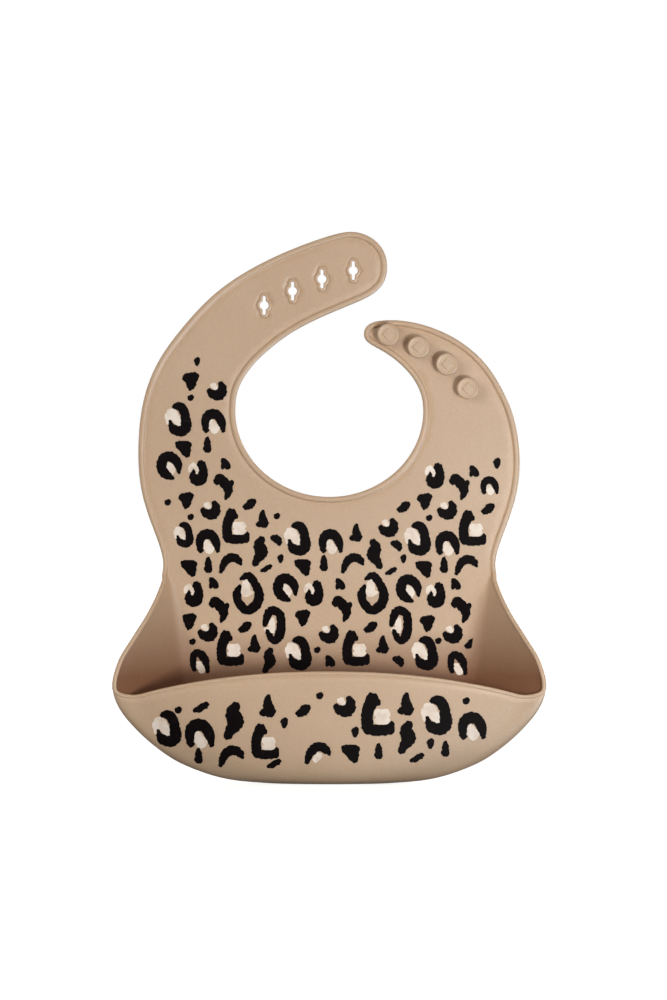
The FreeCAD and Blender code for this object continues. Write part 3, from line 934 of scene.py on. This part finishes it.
scoop, rim_path = scoop_skin("scoop_skin", POCKET_SILICONE)
bend_over(scoop, "lower_panel", "pocket_front", *POCKET_BLEND)
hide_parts("lower_panel", "gusset_left", "gusset_right", "pocket_floor", "pocket_front")
from_top = np.clip((rim_path[:, 2] - WAIST_SEAM) / BEAD_JOIN + 1.0, 0, 1) ** 2
bead_end = np.array((OUT[-1][0] - BEAD_R, sink(OUT[-1][0] - BEAD_R, WAIST_SEAM) - BEAD_R))
shift = np.abs(rim_path[0, :2]) - np.abs(bead_end)
rim_path[:, 0] -= np.sign(rim_path[:, 0]) * from_top * shift[0]
rim_path[:, 1] += from_top * shift[1]
rim = tube("scoop_edge_bead", rim_path, FREE_R + (BEAD_R - FREE_R) * from_top, SILICONE)
bend_over(rim, "lower_panel", "pocket_front", *POCKET_BLEND)
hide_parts("gusset_rim_left", "gusset_rim_right", "pocket_rim")


# ------------------------------------------------------------------ the printed spots

# Each spot is drawn with brush strokes in its own small plan. A stroke is a line of
# (across, up, brush radius) points. "cut" strokes leave the black out.
SPOTS = {
    "crescent": {
        "black": [[(-2.3, 6.6, 0.9), (0.7, 7, 2.2), (3.4, 3.8, 2.4), (4.3, -0.8, 2.7),
                   (4.1, -5, 2.9), (0.7, -6.8, 2.6), (-2.7, -5.4, 2.2), (-4.1, -1.7, 0.9)]],
        "cream": [[(-3.6, 2.6, 3.2), (-1.4, 0.3, 2.6), (0.9, -3.3, 1.3)],
                  [(-4.6, 1.8, 2.6), (-5.3, -2, 1.2)]]},
    "arch": {
        "black": [[(-4.2, -4.4, 1.5), (-4.6, -0.3, 2.1), (-2.7, 3.6, 2.6), (0.9, 4, 2.7),
                   (4.1, 0.4, 2.2), (5.2, -4.9, 1)]],
        "cream": [[(-1, -0.6, 1.7), (0.5, -3.8, 2.7)]]},
    "narrow_arch": {
        "black": [[(-3.2, -4.4, 1.2), (-3.8, -0.2, 1.6), (-2.2, 4.4, 1.9), (1.2, 3, 2.2),
                   (3.5, -1.7, 1.6), (4.4, -5.7, 0.9)]],
        "cream": [[(-0.8, -1.6, 1.6), (0.8, -4.6, 2.1)]]},
    "ring": {
        "black": [[(5.2, -3.5, 0.9), (4.7, 0.3, 2.1), (2.1, 4.1, 2.5), (-1.7, 5.1, 2.5),
                   (-4.2, 2.1, 2.6), (-4, -2.3, 2.6), (-1.2, -5.3, 2.1), (1.8, -6.7, 0.9)]],
        "cream": [[(-1, 0.8, 1), (0.8, -1.6, 2.2), (1.2, -4, 1.1)]]},
    "comma": {
        "black": [[(0.2, -2.2, 4.8), (1.2, -0.8, 4)], [(2.6, 1.2, 2.7), (1.7, 4.6, 2.3)]],
        "cut": [[(-1.4, 3, 1.1), (-0.6, 1.6, 1.3), (-0.8, 0.1, 0.7)]],
        "cream": [[(-4.6, 1.1, 0.9), (-3, 4.3, 1.3), (-1.3, 3.4, 1.3), (-0.6, 1.6, 1.3),
                   (-0.8, 0.1, 0.7)]]},
    "great_ring": {
        "black": [[(-4, 7.8, 0.9), (-0.2, 9.5, 2), (3.5, 5.2, 2.2), (5.7, 0, 2.5),
                   (4.7, -5.4, 2.6), (-0.8, -9.1, 2.5), (-5.1, -5.3, 2.3), (-6.4, -0.6, 2.2),
                   (-4.8, 3.8, 0.9)]],
        "cream": [[(-1.5, 5.8, 1.8), (-1.5, 0.7, 2.9)], [(0, 0.4, 1.6), (2, 0.4, 0.8)]]},
    "oval_ring": {
        "black": [[(-5, 0, 1), (-4.1, 4.6, 2), (-1.6, 8, 2.2), (2.6, 6.2, 2.3),
                   (3.8, 1.3, 2.3), (2.8, -5.3, 2.5), (0.2, -8.4, 1.9), (-2.8, -5.3, 1.6),
                   (-3.7, -3.1, 0.8)]],
        "cream": [[(-1, 3.4, 0.9), (-1.4, -0.8, 1.9), (-1.2, -3.3, 1.2)],
                  [(-1.6, -1.6, 1.4), (-4.3, -2.4, 1.1)]]},
    "boot": {
        "black": [[(-2.4, 6.5, 2.7), (-4.6, 0.2, 2.6), (-4.4, -6.6, 2.5)],
                  [(-4.2, -7.2, 2.3), (0.4, -7.6, 2.5), (5.5, -7.3, 2.2)],
                  [(5.6, -7, 2.1), (6.3, -4.2, 0.8)], [(-1.6, 6.2, 1.6), (-0.2, 4.9, 1.5)]],
        "cream": [[(0.5, -0.1, 2.2), (3.4, -0.2, 2.2)], [(0.4, -3.1, 2), (3.7, -3.3, 1.8)]]},
    "hoof": {
        "black": [[(-3.9, -0.2, 1.2), (-1.4, -2.3, 2.5), (2.2, -2, 2.7), (3.1, 1.6, 2.1),
                   (2.6, 3.6, 1.4)]],
        "cream": [[(-1.6, 2.6, 1.6), (-0.4, 0.8, 1.1)]]},
    "branch": {
        "black": [[(-3.7, 3.1, 1.9), (-2.5, 4.4, 2.5), (0, 2.3, 2.7), (2.3, -0.5, 2.6),
                   (2.4, -3.2, 1.9), (1.2, -6, 1)], [(2.6, 0.3, 2), (4.1, 2.3, 1.4)]]},
    "bow": {
        "black": [[(-5, -4.5, 1.1), (-3.7, -1, 1.8), (-0.8, 2.5, 2.3), (2.7, 2.7, 2.2),
                   (4.9, 0.8, 1.6), (5.9, -0.7, 0.7)]]},
    "pick": {
        "black": [[(-2.9, 2.6, 1.6), (0.2, 1.6, 3), (2.6, 2.4, 1.9)],
                  [(0.4, 1.2, 3.2), (1.2, -0.8, 2.8), (1.8, -2.7, 1.8)]]},
    "heart": {
        "black": [[(-2.2, 1.5, 1.9), (0.3, 1.6, 2.7), (2.6, 2.6, 1.5)],
                  [(0.1, 0.9, 3.1), (0.2, -1, 2.5), (-0.4, -3.3, 1.2)]]},
    "bell": {
        "black": [[(0.2, 4.2, 0.8), (0.1, 1.2, 1.8), (0.7, -2.2, 2.7)],
                  [(0.2, -2.2, 2.3), (-2.2, -2.9, 1.3)]]},
    "long_bean": {
        "black": [[(1, 6, 2), (-0.3, 2.4, 2.9), (1, 0.2, 3.5), (-0.7, -3.6, 2.4),
                   (-2.4, -6.6, 1.7)]]},
    "bean": {"black": [[(-1.9, -1.4, 1.6), (0.4, -0.1, 2.3), (1.7, 1.3, 1.9)]]},
    "sliver": {"black": [[(-2.6, -1.5, 0.6), (-0.3, -0.4, 1.3), (2.1, 1.1, 1.2)]]},
    "nub": {"black": [[(-1.1, 1.8, 1.4), (-0.2, 0.1, 2.1), (0.9, -1.4, 1.7)],
                      [(-0.3, 0, 2), (-1, -1.5, 1.4)]]},
    "blob": {"black": [[(-2.3, 1, 0.9), (0.2, 0.6, 2.2), (1.7, -1.5, 1.5)]]},
    "teardrop": {"black": [[(0, 3.2, 1.1), (0, 0.6, 1.7), (0.1, -2.2, 2.2)]]},
    "seed": {"black": [[(0, 0.9, 1.6), (-0.1, -1.6, 0.7)]]},
    "dot": {"black": [[(-0.1, -0.1, 1.6), (0.1, 0.1, 1.6)]]}}
SPOTS["bow_with_cream"] = {**SPOTS["bow"], "cream": [[(-1, -3.4, 1.4), (0.8, -1.6, 1.8)]]}

# places of the spots: (across, height) or (across, height, scale); a negative scale mirrors a spot
STRAP_SPOTS = {
    "seed": [(-72, 229), (91.5, 173.5, 1.2)], "pick": [(-79.5, 181.5)],
    "heart": [(-75.5, 218.5, 1.1), (-78, 153.5), (52, 153)],
    "hoof": [(-61.5, 213.5), (-65, 148.5), (64, 148.5)],
    "dot": [(-75.5, 209.5), (-88, 152.5)], "crescent": [(-82.5, 198)],
    "arch": [(-63, 196.5), (87.5, 161.5, 0.75)], "teardrop": [(-66.5, 184)],
    "ring": [(-87, 172.5)], "comma": [(-71.5, 168.5), (57.5, 167)],
    "nub": [(-56.5, 173.5), (79, 169.5)], "branch": [(-57.5, 161), (71, 161)],
    "bean": [(-43.5, 151.5), (40.5, 150), (86.5, 149)]}
BODY_SPOTS = {
    "seed": [(-26.5, 121.5), (40.5, 121.5)], "pick": [(-76.5, 116.5), (-14.5, 117), (51.5, 116)],
    "heart": [(-76.5, 87.5), (-14.5, 89.5), (53.5, 86.5)],
    "hoof": [(32, 139), (-66.5, 82), (-0.5, 81), (67, 81)],
    "dot": [(-28.5, 145), (-75.5, 144.5), (54.5, 144), (-74.5, 76.5), (-6.5, 72), (59.5, 77)],
    "crescent": [(-17.5, 133), (48, 133), (-17, 70.5), (52, 70.5), (-79.5, 135, 0.75)],
    "arch": [(-66, 131), (1, 131), (64.5, 130)],
    "narrow_arch": [(-70.5, 66), (70, 65)],
    "teardrop": [(-66, 118.5), (-3, 119.5), (62.5, 118.5)],
    "ring": [(-23.5, 106), (43.5, 105.5)], "comma": [(-8.5, 103), (58, 102), (-74, 102.5)],
    "sliver": [(-34.5, 116.5), (33.5, 115)],
    "nub": [(-63, 108.5), (6, 108), (69, 108), (0.5, 66)],
    "bean": [(-46, 84.5), (22.5, 84.5), (77, 75.5, 0.9)],
    "branch": [(-60, 94), (7, 94.5), (72, 94)],
    "boot": [(-51, 140), (78, 139), (-54, 73.5), (14.5, 73.5)],
    "bell": [(-36.5, 143.5), (14.5, 136), (-41, 75.5), (29, 75)],
    "long_bean": [(-38, 126), (-33, 66.5, 0.85), (25, 124.5, -1)],
    "blob": [(-29, 132), (36.5, 129), (37.5, 66)],
    "bow": [(-54, 119.5), (12.5, 119.5), (74.5, 118.5)],
    "great_ring": [(-44, 103), (24, 103)], "oval_ring": [(-30, 85.5), (39, 85.5)]}
FRONT_SPOTS = {
    "crescent": [(-87.5, 31, 1.08), (57.5, 38.5, 1.15)], "arch": [(-69.5, 28, 1.2), (77, 32, 1.15)],
    "dot": [(-81, 41, 1.1), (-5, 49, 1.1), (73.5, 46, 1.1)],
    "seed": [(-24, 34, 1.2), (14, 29, 1.2), (54.5, 22.5, 1.2)],
    "sliver": [(-69, 42.5, 1.35), (-29.9, 11.9, 1.2), (47, 15, 1.2)], "bean": [(-14, 41, 1.1)],
    "teardrop": [(-70.5, 16), (26.5, 19), (62.5, 20)],
    "bow": [(-53, 16, 1.1)], "bow_with_cream": [(-6.5, 18, 1.1)],
    "long_bean": [(-51.5, 35.5, 1.25), (41.5, 26.5, 1.1)],
    "bell": [(-33, 43.5, 1.25), (41, 44.5, 1.25)],
    "boot": [(-34.5, 24.6), (26, 39.5, 1.2)], "hoof": [(8, 43.5, 1.1)], "pick": [(11.5, 17.5, 1.1)]}

INK_GRID = 0.34             # spacing of the field that a spot's outline is found in
INK_HALF = (11.0, 14.0)     # half size of that field
INK_ROOT = 0.03             # how deep the patches of ink reach into the silicone
INK_FILL = 2.4              # spacing of points inside a patch
INK_SPREAD = 0.15           # how far the black ink spread beyond the brush
INK_EDGE = 0.50             # how ragged the brush's edge is
BLACK_RISE = 0.10           # how far the inks stand proud of the silicone
CREAM_RISE = 0.06


def brush_field(strokes, px, py):
    """Distance of plan points from the nearest brush stroke, less than zero inside it."""
    field = np.full(px.shape, 99.0)
    for stroke in strokes:
        for x, y, r in spline(stroke, 0.5):
            field = np.minimum(field, np.hypot(px - x, py - y) - r)
    return field


def contours(field, xs, ys):
    """Closed outlines where a field on a grid passes through zero (marching squares)."""
    def crossing(a, b):
        va, vb = field[a], field[b]
        t = va / (va - vb)
        return (xs[a[1]] + (xs[b[1]] - xs[a[1]]) * t, ys[a[0]] + (ys[b[0]] - ys[a[0]]) * t)

    links = {}
    where = {}
    rows, columns = np.nonzero((field[:-1, :-1] < 0) | (field[1:, :-1] < 0) | (field[:-1, 1:] < 0)
                               | (field[1:, 1:] < 0))
    for j, i in zip(rows.tolist(), columns.tolist()):
        ring = [(j, i), (j, i + 1), (j + 1, i + 1), (j + 1, i)]
        cuts = []
        for a, b in zip(ring, ring[1:] + ring[:1]):
            if (field[a] < 0) != (field[b] < 0):
                key = (min(a, b), max(a, b))
                where[key] = crossing(*key)
                cuts.append((key, field[a] < 0))
        leaving = [key for key, was_in in cuts if was_in]
        entering = [key for key, was_in in cuts if not was_in]
        for key in leaving:
            links[key] = entering[(leaving.index(key) + (len(entering) > 1)) % len(entering)]
    loops = []
    while links:
        key, after = links.popitem()
        loop = [key]
        while after in links:
            loop.append(after)
            after = links.pop(after)
        loops.append(np.array([where[k] for k in loop]))
    return [loop for loop in loops if len(loop) > 8]


def spot_outlines(kind, ink):
    """Outlines of one ink of a spot, with the brush's ragged edge."""
    xs, ys = (np.arange(-half, half, INK_GRID) for half in INK_HALF)
    px, py = np.meshgrid(xs, ys)
    field = brush_field(SPOTS[kind][ink], px, py)
    if ink == "black" and "cut" in SPOTS[kind]:
        field = np.maximum(field, -brush_field(SPOTS[kind]["cut"], px, py))
    if ink == "black":
        field -= INK_SPREAD
    seed = 7.0 * sorted(SPOTS).index(kind) + (40.0 if ink == "cream" else 0.0)
    near = np.abs(field) < 1.0
    for j, i in zip(*np.nonzero(near)):
        ragged = noise.noise(Vector((px[j, i] * 0.7, py[j, i] * 0.7, seed)))
        ragged += 0.7 * noise.noise(Vector((px[j, i] * 1.7, py[j, i] * 1.7, seed)))
        field[j, i] += INK_EDGE * ragged
    return contours(field, xs, ys)


def flat_place(x, h):
    """Point and outward normal on the front face of the flat skin."""
    return np.array((x, -WALL, h)), np.array((0.0, -1.0, 0.0))


def front_depth(x, h):
    """Depth of the front wall's outer face, with its rounded corners."""
    if abs(x) < (1 - rounding(ROUND_FRONT, h)) * side_reach(h):
        return front_at(x / side_reach(h), h)[1]
    line = np.array([corner_at(u, h) for u in np.linspace(1.0, 0.5, 2 * CORNER_COLUMNS + 1)])
    return float(np.interp(abs(x), line[:, 0], line[:, 1]))


def front_place(x, h):
    """Point and outward normal on the outer face of the pocket's front wall."""
    def at(x, h):
        return np.array((x, front_depth(x, h), h))

    reach = 0.2
    normal = np.cross(at(x + reach, h) - at(x - reach, h), at(x, h + reach) - at(x, h - reach))
    return at(x, h), normal / np.linalg.norm(normal)


def printed(name, places, ink, surface, rise, material):
    """One ink of a set of spots as thin closed patches that lie on a surface."""
    build = Builder()
    for kind, spots in places.items():
        if ink not in SPOTS[kind]:
            continue
        outlines = spot_outlines(kind, ink)
        for x, h, *scale in spots:
            scale = scale[0] if scale else 1.0
            size = np.array((scale, abs(scale)))
            for outline_points in outlines:
                loop = outline_points * size + (x, h)
                points, triangles = fill([loop], INK_FILL, INK_FILL / 3)
                based = [surface(*p) for p in points]
                top = build.add([p + n * rise for p, n in based])
                low = build.add([p - n * INK_ROOT for p, n in based])
                for a, b, c in triangles:
                    build.faces.append((top[a], top[b], top[c]))
                    build.faces.append((low[c], low[b], low[a]))
                for k in range(len(loop)):
                    m = (k + 1) % len(loop)
                    build.cap((top[k], low[k], low[m], top[m]))
    return mesh_object(name, build, [material])


def side_of(places, sign):
    """The spots on one side of the middle."""
    return {kind: [s for s in spots if s[0] * sign > 0] for kind, spots in places.items()}


INKS = (("black", BLACK_RISE, BLACK), ("cream", CREAM_RISE, CREAM))
for ink, rise, material in INKS:
    for side, sign, body in (("hole_strap", -1, "hole_strap"), ("stud_strap", 1, "stud_strap")):
        spots = printed(side + "_print_" + ink, side_of(STRAP_SPOTS, sign), ink, flat_place, rise, material)
        bend_over(spots, "chest", body, *STRAP_BLEND)
    spots = printed("body_print_" + ink, BODY_SPOTS, ink, flat_place, rise, material)
    bend_over(spots, "chest", "lower_panel", *WAIST_BLEND)
    spots = printed("pocket_print_" + ink, FRONT_SPOTS, ink, front_place, rise, material)
    bend_over(spots, "lower_panel", "pocket_front", *POCKET_BLEND)


# ------------------------------------------------------------------ stage, light and camera

FLOOR_REACH = 200.0         # metres from the middle to the floor's edge
FLOOR_GAP = 0.2             # millimetres between the bib's lowest point and the floor
FLOOR_TONE = 0.55           # the paper's own grey to the camera; its glow comes on top
AIM_HEIGHT = 150.0          # height on the bib that the lamps look at


def stage(seen, lit):
    """A plain pale floor; the camera sees it in one brightness and the bib is lit by another."""
    floor = (LOWEST - FLOOR_GAP) * MM
    mesh = bpy.data.meshes.new("floor")
    corners = ((-1, -1), (1, -1), (1, 1), (-1, 1))
    mesh.from_pydata([(x * FLOOR_REACH, y * FLOOR_REACH, floor) for x, y in corners], [], [(0, 1, 2, 3)])
    m = Nodes("floor_paper")
    rays = m.tree.nodes.new("ShaderNodeLightPath").outputs["Is Camera Ray"]
    grain = m.ramp(m.noise(400.0, 2.0), [(0.3, (0.96, 0.96, 0.96)), (0.7, (1.0, 1.0, 1.0))])
    paper = m.mix(rays, (lit,) * 3, (FLOOR_TONE,) * 3)
    m.set("Base Color", m.mix(1.0, paper, grain, "MULTIPLY"))
    m.set("Roughness", 0.95)
    m.set("Specular IOR Level", 0.1)
    m.set("Emission Color", (1.0, 1.0, 1.0, 1.0))
    glow = m.node("ShaderNodeMath", {0: rays, 1: seen}, operation="MULTIPLY")
    m.set("Emission Strength", glow.outputs["Value"])
    mesh.materials.append(m.material)
    obj = bpy.data.objects.new("floor", mesh)
    bpy.context.scene.collection.objects.link(obj)
    obj.visible_shadow = False


def add_light(name, kind, spot, energy, colour, size, only_gloss=False):
    """A soft lamp that looks at the bib; a sun's size is its angle in degrees.

    A lamp for gloss only shows in the reflections and lights nothing."""
    data = bpy.data.lights.new(name, kind)
    if kind == "SUN":
        data.angle = math.radians(size)
    else:
        data.shape = "DISK"
        data.size = size
    data.energy = energy
    data.color = colour
    obj = bpy.data.objects.new(name, data)
    bpy.context.scene.collection.objects.link(obj)
    obj.visible_camera = False
    obj.visible_diffuse = not only_gloss
    obj.location = spot
    aim = place(0.0, 0.0, AIM_HEIGHT)
    obj.rotation_euler = (aim - Vector(spot)).to_track_quat("-Z", "Y").to_euler()


def studio_world(seen, lit):
    """Even surroundings: the camera sees them in one colour and the bib is lit by another."""
    world = bpy.data.worlds.new("studio")
    world.use_nodes = True
    tree = world.node_tree
    rays = tree.nodes.new("ShaderNodeLightPath")
    colour = tree.nodes.new("ShaderNodeMix")
    colour.data_type = "RGBA"
    tree.links.new(rays.outputs["Is Camera Ray"], colour.inputs[0])
    colour.inputs[6].default_value = (*lit, 1.0)
    colour.inputs[7].default_value = (*seen, 1.0)
    tree.links.new(colour.outputs[2], tree.nodes["Background"].inputs["Color"])
    bpy.context.scene.world = world


stage(seen=0.82, lit=0.12)
add_light("key", "AREA", (0.40, -1.0, -0.15), 5.9, (1.0, 0.98, 0.96), 0.24)
add_light("fill", "SUN", (-1.2, -1.6, 0.5), 0.7, (1.0, 0.98, 0.97), 30.0)
add_light("sheen", "AREA", (0.22, -0.30, 0.04), 1.7, (1.0, 1.0, 1.0), 0.20, only_gloss=True)
add_light("rim", "SUN", (1.4, -0.8, -1.1), 9.0, (1.0, 1.0, 1.0), 12.0, only_gloss=True)
add_light("back_right", "SUN", (1.9, 1.5, 0.5), 1.5, (1.0, 0.98, 0.97), 30.0)
add_light("back_left", "SUN", (-1.6, 1.9, 0.5), 0.9, (1.0, 0.98, 0.97), 30.0)
studio_world(seen=(1.0, 1.0, 1.0), lit=(0.33, 0.295, 0.265))
bpy.context.scene.view_settings.view_transform = "Standard"

FRAME_HEIGHT = 545.5        # millimetres of the bib's plane that the picture's height covers
FRAME_MIDDLE = (2.3, 153.8)     # across and height of the picture's middle
DISTANCE = 2500.0
SENSOR = 36.0
camera_data = bpy.data.cameras.new("camera")
camera_data.sensor_width = SENSOR
camera_data.lens = SENSOR * DISTANCE / FRAME_HEIGHT
camera = bpy.data.objects.new("camera", camera_data)
bpy.context.scene.collection.objects.link(camera)
camera.location = place(FRAME_MIDDLE[0], -DISTANCE, FRAME_MIDDLE[1])
camera.rotation_euler = (math.radians(90.0), 0.0, 0.0)
bpy.context.scene.camera = camera
